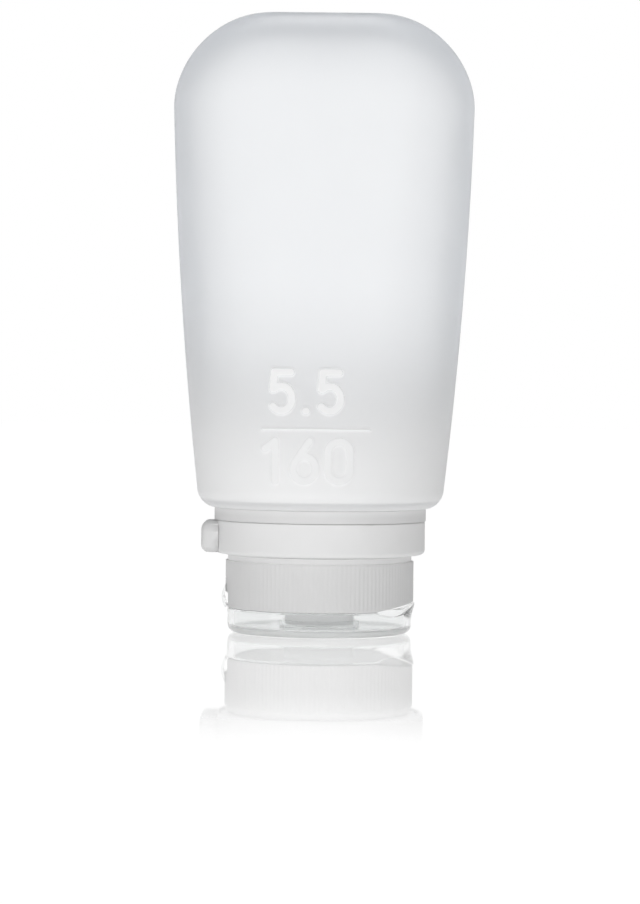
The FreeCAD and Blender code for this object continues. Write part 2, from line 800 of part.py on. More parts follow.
def shoulder_sections(body):
    """Section sketches of the round shoulder: a quarter circle from the mouth's flat out to the flank."""
    sections = []
    for station, angle in enumerate(SHOULDER_ANGLES):
        rise = 1 - math.sin(math.radians(angle))
        drawn_in = 1 - math.cos(math.radians(angle))
        level = SHOULDER + SIZE["shoulder_corner"] * rise
        half_width = SHOULDER_RADIUS - SIZE["shoulder_corner"] * drawn_in
        corner = half_width - SIZE["shoulder_flat"]
        name = f"shoulder{station}"
        sections.append(rounded_box(body, name, "XY_Plane", level, half_width, half_width, corner))
    return sections


def flank_sections(body, name, inset, low):
    """Section sketches of the flank, drawn in by a wall, from a low level up to the belly.

    The flank swells in X along a parabola and thins in Y along a power curve.
    """
    sections = []
    low_half = SHOULDER_RADIUS - inset
    low_corner = low_half - SIZE["shoulder_flat"]
    belly_corner = SIZE["belly_corner"] - inset
    for station in range(FLANK_STATIONS):
        rise = station / (FLANK_STATIONS - 1)
        level = low + (BELLY - low) * rise
        half_width = low_half + SIZE["belly_swell"] * (rise + FLANK_BOW_SHARE * rise * (1 - rise))
        half_depth = low_half - SIZE["depth_taper"] * rise**DEPTH_POWER
        corner = low_corner + (belly_corner - low_corner) * rise
        station_name = f"{name}{station}"
        sections.append(rounded_box(body, station_name, "XY_Plane", level, half_width, half_depth, corner))
    return sections


def end_sections(body, name, inset):
    """Section sketches of the closed end, drawn in by a wall, from the belly up to a small flat.

    Width, depth and corner all draw in along a superellipse, and the depth also goes on thinning at
    the rate that the flank ends with, so that the two meet without a kink.
    """
    sections = []
    belly_half = SHOULDER_RADIUS + SIZE["belly_swell"] - inset
    belly_depth = SHOULDER_RADIUS - SIZE["depth_taper"] - inset
    belly_corner = SIZE["belly_corner"] - inset
    corner_run = SIZE["belly_corner"] - SIZE["end_corner"] - inset / 2
    height = SIZE["end_height"] - inset
    thinning = (SIZE["depth_taper"] * DEPTH_POWER).over(height, SIZE["flank_length"])
    for station in range(END_STATIONS):
        angle = math.pi / 2 * station / (END_STATIONS - 1)
        rise = math.sin(angle) ** END_POWER
        drawn_in = 1 - max(math.cos(angle), 0.0) ** END_POWER
        level = BELLY + height * rise
        half_width = belly_half - SIZE["end_run"] * drawn_in
        half_depth = belly_depth - SIZE["end_depth_run"] * drawn_in - thinning * rise
        corner = belly_corner - corner_run * drawn_in
        station_name = f"{name}{station}"
        sections.append(rounded_box(body, station_name, "XY_Plane", level, half_width, half_depth, corner))
    return sections


def make_squeeze_body():
    """Silicone body: a thick-lipped round mouth below, flattening to a wide rounded end on top."""
    body = new_body("squeeze_body")
    wall = SIZE["body_wall"]
    lofted(body, "shoulder", shoulder_sections(body))
    lofted(body, "flank", flank_sections(body, "flank_outside", ZERO, FLANK_LOW))
    lofted(body, "end", end_sections(body, "end_outside", ZERO))
    lofted(body, "flank_hollow", flank_sections(body, "flank_inside", wall, LIP_TOP), "SubtractiveLoft")
    lofted(body, "end_hollow", end_sections(body, "end_inside", wall), "SubtractiveLoft")
    mouth = circle(body, "mouth_outline", SLEEVE_RADIUS + SIZE["fit_gap"], SHOULDER - SIZE["overrun"])
    straight(body, "mouth", mouth, SIZE["mouth_lip"] + SIZE["overrun"] * 2, "Pocket", reverse=True)
    return body


def check_document():
    """Stops with a message if any object of the document failed to build."""
    for item in DOCUMENT.Objects:
        if "Invalid" in item.State or "Error" in item.State:
            raise RuntimeError(f"{item.Label} failed: {item.State}")


def write_parts(pieces):
    """Checks each piece's solid and writes it to its own file."""
    os.makedirs("parts", exist_ok=True)
    for piece in pieces:
        shape = piece.Shape
        if shape.isNull() or not shape.isValid() or len(shape.Solids) != 1:
            raise RuntimeError(f"{piece.Label} isn't one valid solid")
    for piece in pieces:
        piece.Shape.exportStep(f"parts/{piece.Label}.step")
        box = piece.Shape.BoundBox
        print(f"{piece.Label}: {piece.Shape.Volume:.1f} mm3, Z {box.ZMin:.2f} to {box.ZMax:.2f}")


PIECES = [
    make_flip_lid(),
    make_hinge_strap(),
    make_screw_cap(),
    make_spout_valve(),
    make_valve_retainer(),
    make_cap_liner(),
    make_neck_insert(),
    make_index_ring(),
    make_id_collar(),
    make_collar_window(),
    make_squeeze_body(),
]
DOCUMENT.recompute()
check_document()
write_parts(PIECES)
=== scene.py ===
"""Squeezable silicone travel bottle, standing cap down on its clear flip lid.

Each section builds one piece of the bottle, in the order in which it is put together. Sizes are in
millimetres until a mesh is made, and the axis of the bottle is Z.
"""
import math

import bmesh
import bpy
import mathutils
import numpy as np
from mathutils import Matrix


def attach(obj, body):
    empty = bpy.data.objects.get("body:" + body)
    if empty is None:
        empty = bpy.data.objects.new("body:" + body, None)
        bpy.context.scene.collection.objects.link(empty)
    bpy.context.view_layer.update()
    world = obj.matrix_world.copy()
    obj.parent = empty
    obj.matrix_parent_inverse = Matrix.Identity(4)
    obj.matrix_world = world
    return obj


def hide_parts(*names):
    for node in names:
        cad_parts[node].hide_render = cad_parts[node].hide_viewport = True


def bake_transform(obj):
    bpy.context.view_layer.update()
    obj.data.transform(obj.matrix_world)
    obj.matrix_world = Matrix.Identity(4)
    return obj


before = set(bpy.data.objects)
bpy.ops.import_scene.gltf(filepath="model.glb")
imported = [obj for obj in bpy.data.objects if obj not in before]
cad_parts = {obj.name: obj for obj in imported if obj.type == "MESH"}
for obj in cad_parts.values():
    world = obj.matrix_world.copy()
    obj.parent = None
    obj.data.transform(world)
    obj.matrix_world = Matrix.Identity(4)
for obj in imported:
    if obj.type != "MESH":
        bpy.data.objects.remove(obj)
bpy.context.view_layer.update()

# Squeeze body. One piece of frosted silicone rubber, moulded upside down over a core, with an even
# 2 mm wall, a thick lip round the mouth and raised figures on the front. It stretches over the neck's
# flange, which holds it by the lip.
MM = 0.001
CREASE = math.radians(35)
WALL = 2.0
MOUTH = 17.45
MOUTH_CHAMFER = 0.2
SHOULDER = 25.4
LIP_TOP = 28.2
FLANK_LOW = 29.7
BELLY = 106.5
HALF_WIDTH = 25.1
FILLET_REACH = 3.8
SWELL = 5.35
SWELL_BOW = 0.59
THINNING = 4.85
THINNING_POWER = 1.7
CORNER_LOW = 24.6
CORNER_HIGH = 18.9
END_HEIGHT = 18.57
END_POWER = 1.894
END_WIDTH = 18.0
END_DEPTH = 11.2
END_CORNER = 15.9
FLAT_SHARES = (0.75, 0.5, 0.25)
LEDGE_SHARES = (0.2, 0.6)
MOUTH_ROWS = (27.4, 26.2)
UNDERSIDE_ROW = 19.0


def corner_columns():
    """Columns round a rounded rectangle, closest together on the front, where the figures stand.

    A column is a share of the way to the corner's centre in X, the same in Y, and the direction of the
    outward normal there, in degrees. Corners hold the shares and turn; straight sides hold the turn.
    """
    stops = np.array(
        [
            (1, 1, 0),
            (1, 1, 90),
            (-1, 1, 90),
            (-1, 1, 180),
            (-1, -1, 180),
            (-1, -1, 240),
            (-1, -1, 270),
            (1, -1, 270),
            (1, -1, 296),
            (1, -1, 360),
            (1, 1, 360),
        ],
        float,
    )
    counts = (24, 10, 24, 8, 18, 46, 26, 40, 20, 8)
    spans = zip(stops, stops[1:], counts)
    runs = [np.linspace(*ends, count, endpoint=False) for *ends, count in spans]
    across, along, turn = np.concatenate(runs).T
    return across, along, np.radians(turn)


def body_section(z, inset):
    """Half width, half depth and corner radius of the body at heights z, drawn in by a wall.

    The flank swells in X along a parabola and thins in Y as a power of the height. The closed end
    draws all three in along a superellipse, and goes on thinning at the flank's last rate.
    """
    low = FLANK_LOW if inset == 0 else LIP_TOP
    end = END_HEIGHT - inset
    share = np.clip((z - low) / (BELLY - low), 0, 1)
    width = HALF_WIDTH - inset + SWELL * (share + SWELL_BOW * share * (1 - share))
    depth = HALF_WIDTH - inset - THINNING * share**THINNING_POWER
    corner = CORNER_LOW - inset + (CORNER_HIGH - CORNER_LOW) * share
    rise = np.clip((z - BELLY) / end, 0, 1)
    drawn = 1 - np.clip(1 - rise**END_POWER, 0, 1) ** (1 / END_POWER)
    last_rate = THINNING * THINNING_POWER / (BELLY - FLANK_LOW)
    width = width - END_WIDTH * drawn
    depth = depth - END_DEPTH * drawn - last_rate * end * rise
    corner = corner - (END_CORNER - inset / 2) * drawn
    return width, depth, corner


def end_heights(height, count):
    """Heights up the closed end, even in the superellipse's own angle."""
    angle = np.linspace(0, math.pi / 2, count)[1:]
    return BELLY + height * np.sin(angle) ** (2 / END_POWER)


def finished(name, mesh):
    """An object for a mesh, shaded smooth except where faces meet at more than the crease angle."""
    mesh.shade_smooth()
    mesh.set_sharp_from_angle(angle=CREASE)
    piece = bpy.data.objects.new(name, mesh)
    bpy.context.scene.collection.objects.link(piece)
    return piece


def skin(name, grid, ends="poles"):
    """A mesh over a grid of points, closed round its columns.

    Its first and last rows are joined to each other (loop) or each drawn to a point (poles). The sign
    of the enclosed volume tells which way the faces must point.
    """
    rows, columns, _ = grid.shape
    points = grid.reshape(-1, 3)
    here = np.arange(rows * columns).reshape(rows, columns)
    beside = np.roll(here, -1, axis=1)
    above = np.roll(here, -1, axis=0)
    both = np.roll(beside, -1, axis=0)
    used = slice(None) if ends == "loop" else slice(0, rows - 1)
    quads = np.stack([here[used], beside[used], both[used], above[used]], axis=-1).reshape(-1, 4)
    fans = np.empty((0, 3), int)
    if ends == "poles":
        points = np.concatenate([points, grid[:1].mean(axis=1), grid[-1:].mean(axis=1)])
        low = np.full(columns, rows * columns)
        first = np.stack([beside[0], here[0], low], axis=-1)
        last = np.stack([here[-1], beside[-1], low + 1], axis=-1)
        fans = np.concatenate([first, last])
    a, b, c, d = (points[quads[:, i]] for i in range(4))
    volume = np.einsum("ij,ij->", a, np.cross(b, c)) + np.einsum("ij,ij->", a, np.cross(c, d))
    way = 1 if volume >= 0 else -1
    mesh = bpy.data.meshes.new(name)
    mesh.from_pydata(points * MM, [], quads[:, ::way].tolist() + fans[:, ::way].tolist())
    mesh.update()
    return finished(name, mesh)


def arc_line(middle_x, middle_y, radius_x, radius_y, start, end, count=14):
    """Points along part of an ellipse, angles in degrees."""
    turn = np.radians(np.linspace(start, end, count))
    x = middle_x + radius_x * np.cos(turn)
    y = middle_y + radius_y * np.sin(turn)
    return np.stack([x, y], axis=1)


# Each figure is a pen line in a box one unit tall
FIVE = np.concatenate(
    [[[0.52, 1.0], [0.1, 1.0], [0.07, 0.56]], arc_line(0.28, 0.32, 0.28, 0.32, 130, -140)]
)
ONE = np.array([[0.0, 0.8], [0.26, 1.0], [0.26, 0.0]])
SIX = np.concatenate([[[0.4, 1.0], [0.06, 0.5]], arc_line(0.28, 0.31, 0.28, 0.31, 150, 515, 24)])
ZERO = np.concatenate(
    [
        arc_line(0.28, 0.72, 0.28, 0.28, 0, 180),
        arc_line(0.28, 0.28, 0.28, 0.28, 180, 360),
        [[0.56, 0.72]],
    ]
)
POINT = np.array([[0.0, 0.0], [0.02, 0.0]])
BAR = np.array([[0.0, 0.0], [1.0, 0.0]])
# Half the pen's width, how far a figure stands out and how wide its sloping edge is
PEN = 0.82
THIN_PEN = 0.24
RELIEF = 0.2
EDGE = 0.4
# Figure, left end, foot, height and pen of each
FIGURES = (
    (FIVE, -10.0, 45.2, 7.6, PEN),
    (POINT, -3.1, 45.2, 7.6, PEN),
    (FIVE, -0.5, 45.2, 7.6, PEN),
    (BAR, -11.6, 41.6, 21.2, THIN_PEN),
    (ONE, -11.0, 31.5, 7.8, PEN),
    (SIX, -5.4, 31.5, 7.8, PEN),
    (ZERO, 1.4, 31.5, 7.8, PEN),
)
FIGURES_TOP = 55.0


def figure_relief(x, z):
    """How far the figures stand out: 1 inside the pen line, falling smoothly to 0 past its edge."""
    relief = np.zeros_like(x)
    for line, left, low, tall, pen in FIGURES:
        px = left + line[:, 0] * tall
        pz = low + line[:, 1] * tall
        for x0, z0, x1, z1 in zip(px[:-1], pz[:-1], px[1:], pz[1:]):
            run = (x1 - x0) ** 2 + (z1 - z0) ** 2
            share = np.clip(((x - x0) * (x1 - x0) + (z - z0) * (z1 - z0)) / run, 0, 1)
            away = np.hypot(x - x0 - share * (x1 - x0), z - z0 - share * (z1 - z0))
            edge = np.clip((pen + EDGE / 2 - away) / EDGE, 0, 1)
            relief = np.maximum(relief, edge * edge * (3 - 2 * edge))
    return relief


def silicone_shell():
    """Grid from the inner end's middle, down the inside, through the mouth and up the outside.

    With it goes how far each point is raised as part of a figure, from 0 to 1.
    """
    across, along, turn = corner_columns()
    inside_end = end_heights(END_HEIGHT - WALL, 26)[::-1]
    inside_z = np.concatenate([inside_end, np.linspace(BELLY, LIP_TOP, 40)])
    inside = np.stack([*body_section(inside_z, WALL), inside_z])
    # Across the lip's ledge the rounded square turns into the mouth's circle, and under it back again
    ledge = HALF_WIDTH - WALL
    mouth_line = np.array(
        [
            *[(ledge + (MOUTH - ledge) * share, LIP_TOP) for share in LEDGE_SHARES],
            (MOUTH, LIP_TOP),
            *[(MOUTH, row) for row in MOUTH_ROWS],
            (MOUTH, SHOULDER + MOUTH_CHAMFER),
            (MOUTH + MOUTH_CHAMFER, SHOULDER),
            (UNDERSIDE_ROW, SHOULDER),
        ]
    )
    reach, level = mouth_line.T
    squareness = HALF_WIDTH - CORNER_LOW
    corner = reach - squareness * (reach - MOUTH) / (HALF_WIDTH - MOUTH)
    mouth = np.stack([reach, reach, corner, level])
    angle = np.radians(np.linspace(90, 0, 14))
    reach = HALF_WIDTH - FILLET_REACH * (1 - np.cos(angle))
    level = SHOULDER + (FLANK_LOW - SHOULDER) * (1 - np.sin(angle))
    fillet = np.stack([reach, reach, reach - squareness, level])
    figures_z = np.linspace(FLANK_LOW, FIGURES_TOP, 92)[1:]
    flank_z = np.linspace(FIGURES_TOP, BELLY, 36)[1:]
    outside_z = np.concatenate([figures_z, flank_z, end_heights(END_HEIGHT, 40)])
    outside = np.stack([*body_section(outside_z, 0), outside_z])
    sections = np.concatenate([inside, mouth, fillet, outside], axis=1)
    width, depth, corner, z = sections[:, :, None]
    x = across * (width - corner) + corner * np.cos(turn)
    y = along * (depth - corner) + corner * np.sin(turn)
    z = z + 0 * x
    shown = slice(-len(outside_z), None)
    raised = np.zeros_like(x)
    raised[shown] = np.where(y[shown] < 0, figure_relief(x[shown], z[shown]), 0)
    x = x + RELIEF * raised * np.cos(turn)
    y = y + RELIEF * raised * np.sin(turn)
    grid = np.stack([x, y, z], axis=-1)
    # Each wall ends on top in a small flat, whose rings shrink towards the middle
    flats = len(FLAT_SHARES)
    rings = np.ones((flats, 1, 3))
    rings[:, 0, :2] = np.array(FLAT_SHARES)[:, None]
    grid = np.concatenate([(grid[:1] * rings)[::-1], grid, grid[-1:] * rings])
    return grid, np.pad(raised, ((flats, flats), (0, 0)))


shell_grid, raised = silicone_shell()
silicone_body = skin("silicone_body", shell_grid)


def mark(piece, name, values):
    """Stores a number for each point of a piece; the points that close its poles take their row's."""
    poles = [values[0, 0], values[-1, 0]][: len(piece.data.vertices) - values.size]
    data = piece.data.attributes.new(name, "FLOAT", "POINT").data
    data.foreach_set("value", np.append(values.ravel(), poles).astype(np.float32))


# The outside of the lower body is made milky, most near the lip. This is partly the thick lip's own
# scatter and partly painted light, which lifts the shade where little light gets in under the shoulder.
# A clearer band on the rounded underside is painted shade that greys the face looking down.
MILKY_AND_PAINTED_LIGHT_HEIGHTS = (25.4, 25.9, 26.3, 26.85, 27.26, 30.0, 34.0, 40.0, 48.0, 58.0, 70.0)
MILKY_AND_PAINTED_LIGHT = (0.92, 0.84, 0.73, 0.69, 0.93, 0.93, 0.89, 0.77, 0.48, 0.12, 0.0)
thick_and_painted_light = np.interp(shell_grid[:, :, 2], MILKY_AND_PAINTED_LIGHT_HEIGHTS, MILKY_AND_PAINTED_LIGHT)
thick_and_painted_light[: np.argmax(shell_grid[:, 0, 2] < LIP_TOP)] = 0
mark(silicone_body, "raised", raised)
mark(silicone_body, "thick_and_painted_light", thick_and_painted_light)


def linear(code):
    """An sRGB hex colour as linear light, with full cover: the sRGB curve undone per channel."""
    channels = [int(code[i : i + 2], 16) / 255 for i in (0, 2, 4)]
    light = [c / 12.92 if c <= 0.04045 else ((c + 0.055) / 1.055) ** 2.4 for c in channels]
    return light + [1.0]


def add(tree, kind, settings=None, **inputs):
    """Adds a node, sets its properties, and sets or links its inputs.

    In an input's name _ stands for a space, and i with a number for the input of that number.
    """
    made = tree.nodes.new(kind)
    for key, value in (settings or {}).items():
        setattr(made, key, value)
    for key, value in inputs.items():
        numbered = key[0] == "i" and key[1:].isdigit()
        socket = made.inputs[int(key[1:]) if numbered else key.replace("_", " ")]
        if isinstance(value, bpy.types.NodeSocket):
            tree.links.new(value, socket)
        else:
            socket.default_value = value
    return made


def empty_material(name):
    """A material with only its output node."""
    made = bpy.data.materials.new(name)
    made.use_nodes = True
    made.node_tree.nodes.clear()
    return made, made.node_tree, made.node_tree.nodes.new("ShaderNodeOutputMaterial")


# Silicone rubber from a grit-blasted mould: a soft matt skin that blurs what shows through it, bluish
# grey where the eye looks along the wall, and milky where it is thick and where painted light brightens
# its lower body. The grit of about 0.6 mm is coarser than the real one, so that it shows. The polished
# figures are smoother, and their extra whiteness is a painted highlight.
LET_THROUGH_SHARE = 0.17
silicone, tree, out = empty_material("frosted_silicone_rubber")
place = add(tree, "ShaderNodeTexCoord").outputs["Object"]
grit = add(tree, "ShaderNodeTexNoise", Vector=place, Scale=1 / (0.6 * MM), Detail=3.0)
cloud = add(tree, "ShaderNodeTexNoise", Vector=place, Scale=1 / (9 * MM), Detail=2.0)
figure = add(tree, "ShaderNodeAttribute", {"attribute_name": "raised"})
lip_with_painted_light = add(tree, "ShaderNodeAttribute", {"attribute_name": "thick_and_painted_light"})
rough = add(
    tree,
    "ShaderNodeMapRange",
    Value=cloud.outputs["Fac"],
    From_Min=0.3,
    From_Max=0.7,
    To_Min=0.29,
    To_Max=0.33,
)
smooth = add(
    tree,
    "ShaderNodeMapRange",
    Value=figure.outputs["Fac"],
    To_Min=rough.outputs["Result"],
    To_Max=0.25,
)
# How milky each point is: the lower body's mark, and 0.92 on the figures, where the whiteness is a
# painted highlight
milky_with_painted_light = add(
    tree,
    "ShaderNodeMapRange",
    Value=figure.outputs["Fac"],
    To_Min=lip_with_painted_light.outputs["Fac"],
    To_Max=0.92,
)
bump = add(tree, "ShaderNodeBump", Height=grit.outputs["Fac"], Strength=0.08, Distance=0.05 * MM)
white = linear("ffffff")
wall = add(
    tree,
    "ShaderNodeBsdfPrincipled",
    Base_Color=white,
    Roughness=smooth.outputs["Result"],
    IOR=1.41,
    Transmission_Weight=1.0,
    Normal=bump.outputs["Normal"],
)
sent_back = add(tree, "ShaderNodeBsdfDiffuse", Color=white, Normal=bump.outputs["Normal"])
let_through = add(tree, "ShaderNodeBsdfTranslucent", Color=white, Normal=bump.outputs["Normal"])
milk = add(
    tree,
    "ShaderNodeMixShader",
    i0=LET_THROUGH_SHARE,
    i1=sent_back.outputs[0],
    i2=let_through.outputs[0],
)
surface = add(
    tree, "ShaderNodeMixShader", i0=milky_with_painted_light.outputs[0], i1=wall.outputs[0], i2=milk.outputs[0]
)
depth_tint = add(tree, "ShaderNodeVolumeAbsorption", Color=linear("c2ccd8"), Density=55.0)
tree.links.new(surface.outputs[0], out.inputs["Surface"])
tree.links.new(depth_tint.outputs["Volume"], out.inputs["Volume"])
silicone_body.data.materials.append(silicone)
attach(silicone_body, "bottle")
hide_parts("squeeze_body")

# Threaded neck. Injection-moulded natural polypropylene: a screw thread below, a plain sleeve through
# the silicone mouth, and a flange that keeps the mouth from pulling off.
RIM = 7.9
RIM_ROUNDING = 0.3
TUBE = 16.3
TUBE_BORE = 14.7
TUBE_TOP = 15.9
SLEEVE = 17.4
SLEEVE_BORE = 15.7
SLEEVE_BORE_LOW = 17.0
BEAD = 17.75
BEAD_LEVEL = 19.2
BEAD_HALF = 0.35
FLANGE = 20.3
FLANGE_LOW = 28.24
FLANGE_TOP = 29.6
THREAD_PITCH = 3.0
THREAD_START = 9.2
THREAD_DEPTH = 0.95
CREST_HALF = 0.4
FOOT_HALF = 0.85
RUN_OUT = 0.04
NECK_TURNS = 1.5
NEAR = 0.01


def outline(corners, step=1.2, closed=True):
    """Points along straight runs between (radius, height, rounding) corners.

    A corner with a rounding is a quadratic curve that leaves the runs one rounding away from it.
    """
    corners = np.array(corners, float)
    spots = corners[:, :2]
    rounding = corners[:, 2:]
    before = np.roll(spots, 1, axis=0) - spots
    after = np.roll(spots, -1, axis=0) - spots
    start = spots + rounding * before / np.linalg.norm(before, axis=1, keepdims=True)
    end = spots + rounding * after / np.linalg.norm(after, axis=1, keepdims=True)
    bend = np.linspace(0, 1, 6)[:, None]
    path = []
    for i in range(len(spots)):
        if rounding[i, 0] > 0:
            curve = (1 - bend) ** 2 * start[i] + 2 * bend * (1 - bend) * spots[i] + bend**2 * end[i]
            path.append(curve)
        else:
            path.append(spots[i : i + 1])
        if not closed and i == len(spots) - 1:
            break
        goal = start[(i + 1) % len(spots)]
        pieces = max(1, math.ceil(np.linalg.norm(goal - end[i]) / step))
        share = np.linspace(0, 1, pieces + 1)[1:-1, None]
        path.append(end[i] + (goal - end[i]) * share)
    return np.concatenate(path)


def turned(radius, height, angle):
    """Points at some radius and height for each row, round each angle."""
    return np.stack([radius * np.cos(angle), radius * np.sin(angle), height + 0 * angle], axis=-1)


def thread_ridge(height, angle, first_angle, turns):
    """Screw thread: 1 along the crest, sloping to 0 at its foot, with ends that run out.

    The ridge's middle climbs one pitch a turn from its start at first_angle; its flanks slope from
    half the crest's width to half the foot's either side.
    """
    ridge = np.zeros(np.broadcast_shapes(height.shape, angle.shape))
    for lap in range(3):
        way = np.mod(angle - first_angle, 2 * math.pi) / (2 * math.pi) + lap
        aside = np.abs(height - THREAD_START - THREAD_PITCH * way)
        ends = np.clip(np.minimum(way, turns - way) / RUN_OUT, 0, 1)
        flank = np.clip((FOOT_HALF - aside) / (FOOT_HALF - CREST_HALF), 0, 1)
        ridge = np.maximum(ridge, flank * ends)
    return ridge


ROUND = np.linspace(0, 2 * math.pi, 240, endpoint=False)
neck_line = outline(
    [
        (TUBE_BORE, RIM, RIM_ROUNDING),
        (TUBE, RIM, RIM_ROUNDING),
        (TUBE, TUBE_TOP, 0.1),
        (SLEEVE, TUBE_TOP, 0.2),
        (SLEEVE, BEAD_LEVEL - BEAD_HALF, 0),
        (BEAD, BEAD_LEVEL, 0.1),
        (SLEEVE, BEAD_LEVEL + BEAD_HALF, 0),
        (SLEEVE, FLANGE_LOW, 0.1),
        (FLANGE, FLANGE_LOW, 0.3),
        (FLANGE, FLANGE_TOP, 0.4),
        (SLEEVE_BORE, FLANGE_TOP, 0.3),
        (SLEEVE_BORE, SLEEVE_BORE_LOW, 0.3),
        (TUBE_BORE, TUBE_TOP, 0.3),
    ],
    step=0.3,
)
radius, height = neck_line.T[:, :, None]
on_tube = (np.abs(radius - TUBE) < NEAR) & (height > RIM + RIM_ROUNDING)
radius = radius + THREAD_DEPTH * thread_ridge(height, ROUND, 0.0, NECK_TURNS) * on_tube
threaded_neck = skin("threaded_neck", turned(radius, height, ROUND), "loop")

# Natural polypropylene: greyer and a little see-through in thin walls, milky white in thick ones, with a
# satin skin from the mould and faint flow clouds. The grain of 0.5 mm is coarser than the real one. The
# same milky white is also painted onto some faces as light, to lift their shade.
natural, tree, out = empty_material("natural_polypropylene")
place = add(tree, "ShaderNodeTexCoord").outputs["Object"]
cloud = add(tree, "ShaderNodeTexNoise", Vector=place, Scale=1 / (5 * MM), Detail=3.0)
grain = add(tree, "ShaderNodeTexNoise", Vector=place, Scale=1 / (0.5 * MM), Detail=2.0)
thickness_with_painted_light = add(tree, "ShaderNodeAttribute", {"attribute_name": "thick_and_painted_light"})
thin = add(
    tree,
    "ShaderNodeMix",
    {"data_type": "RGBA"},
    Factor=cloud.outputs["Fac"],
    i6=linear("dfdfdf"),
    i7=linear("e5e5e5"),
)
# Whiter and less clear where marked: real thickness in some places, painted light in others
tone = add(
    tree,
    "ShaderNodeMix",
    {"data_type": "RGBA"},
    Factor=thickness_with_painted_light.outputs["Fac"],
    i6=thin.outputs[2],
    i7=linear("ffffff"),
)
clarity = add(
    tree, "ShaderNodeMapRange", Value=thickness_with_painted_light.outputs["Fac"], To_Min=0.15, To_Max=0.0
)
bump = add(tree, "ShaderNodeBump", Height=grain.outputs["Fac"], Strength=0.06, Distance=0.05 * MM)
surface = add(
    tree,
    "ShaderNodeBsdfPrincipled",
    Base_Color=tone.outputs[2],
    Roughness=0.55,
    IOR=1.49,
    Specular_IOR_Level=0.25,
    Transmission_Weight=clarity.outputs["Result"],
    Normal=bump.outputs["Normal"],
)
tree.links.new(surface.outputs["BSDF"], out.inputs["Surface"])
threaded_neck.data.materials.append(natural)
mark(threaded_neck, "thick_and_painted_light", np.ones_like(radius))
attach(threaded_neck, "bottle")
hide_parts("neck_insert")

# Shoulder ring. A polypropylene ring snapped over the sleeve up to the silicone lip, which it clamps
# against the flange. Its drum below carries the turning collar, and a bead keeps that from dropping off.
RING = 21.5
RING_BORE = 17.45
RING_GROOVE = 17.8
RING_LOW = 22.9
RING_TOP = 25.36
DRUM = 19.3
DRUM_LOW = 16.3
DRUM_BEAD = 19.85
DRUM_BEAD_TOP = 17.0
RING_FACE = 21.4
# Heights over which the ring's upper edge is whitened, and by how much: painted light
RING_EDGE_HEIGHTS = (24.3, 25.2)
RING_EDGE_PAINTED_LIGHT = (0.0, 0.35)
ring_line = outline(
    [
        (RING_BORE, DRUM_LOW, 0.1),
        (DRUM_BEAD, DRUM_LOW, 0.2),
        (DRUM_BEAD, DRUM_BEAD_TOP, 0.2),
        (DRUM, DRUM_BEAD_TOP, 0.1),
        (DRUM, RING_LOW, 0.1),
        (RING, RING_LOW, 0.05),
        (RING, RING_TOP, 0.05),
        (RING_BORE, RING_TOP, 0.1),
        (RING_BORE, BEAD_LEVEL + BEAD_HALF, 0),
        (RING_GROOVE, BEAD_LEVEL, 0),
        (RING_BORE, BEAD_LEVEL - BEAD_HALF, 0),
    ]
)
shoulder_ring = skin("shoulder_ring", turned(*ring_line.T[:, :, None], ROUND), "loop")
shoulder_ring.data.materials.append(natural)
# All but the ring's outer face, drum and bore included, is made white and opaque. This is painted light
# that brightens the dark gaps next to the collar. The upper edge of the outer face is made a little
# whiter, which is painted light against the shade under the silicone's overhang. The drum is backed by
# the neck all round.
edge_painted_light = np.interp(ring_line[:, 1], RING_EDGE_HEIGHTS, RING_EDGE_PAINTED_LIGHT)
ring_painted_light = np.where(ring_line[:, 0] < RING_FACE, 1.0, edge_painted_light)
mark(shoulder_ring, "thick_and_painted_light", ring_painted_light[:, None] + 0 * ROUND)
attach(shoulder_ring, "bottle")
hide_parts("index_ring")

# Name collar. A polypropylene band that clicks over the ring's bead and turns on its drum by hand. A
# raised pad on one side holds the window. Its mesh is a welded copy of the solid, because of the hole.
PAD_FACE = -20.5
COLLAR_THICK = 0.3


def welded_copy(name, node):
    """The node's own mesh with its loose triangles joined, as a new object."""
    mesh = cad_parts[node].data.copy()
    mesh.name = name
    mesh.materials.clear()
    builder = bmesh.new()
    builder.from_mesh(mesh)
    bmesh.ops.remove_doubles(builder, verts=builder.verts, dist=0.0005 * MM)
    builder.to_mesh(mesh)
    builder.free()
    piece = finished(name, mesh)
    even = piece.modifiers.new("even_shading", "WEIGHTED_NORMAL")
    even.keep_sharp = True
    return piece


name_collar = welded_copy("name_collar", "id_collar")
name_collar.data.materials.append(natural)
# The hollow pad is thinner than the band
spots = np.zeros(3 * len(name_collar.data.vertices))
name_collar.data.vertices.foreach_get("co", spots)
mark(name_collar, "thick_and_painted_light", np.where(spots[::3] < PAD_FACE * MM, 0.0, COLLAR_THICK)[:, None])
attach(name_collar, "collar")
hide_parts("id_collar")

# Window pane. A small flat plate of clear polypropylene, moulded by itself and pressed into the hole in
# the collar's pad. Its mesh is a welded copy of the solid too.
window_pane = welded_copy("window_pane", "collar_window")

# Clarified polypropylene from a polished mould: nearly clear, with a slow ripple of about 6 mm and a
# faint grey where the eye looks along the wall. Where it is marked thick it turns hazy.
clear, tree, out = empty_material("clarified_polypropylene")
place = add(tree, "ShaderNodeTexCoord").outputs["Object"]
ripple = add(tree, "ShaderNodeTexNoise", Vector=place, Scale=1 / (6 * MM), Detail=1.0)
haze = add(tree, "ShaderNodeAttribute", {"attribute_name": "thick_and_painted_light"})
clarity = add(tree, "ShaderNodeMapRange", Value=haze.outputs["Fac"], To_Min=0.97, To_Max=0.55)
bump = add(tree, "ShaderNodeBump", Height=ripple.outputs["Fac"], Strength=0.05, Distance=0.2 * MM)
surface = add(
    tree,
    "ShaderNodeBsdfPrincipled",
    Base_Color=linear("fafbfb"),
    Roughness=0.08,
    IOR=1.5,
    Transmission_Weight=clarity.outputs["Result"],
    Normal=bump.outputs["Normal"],
)
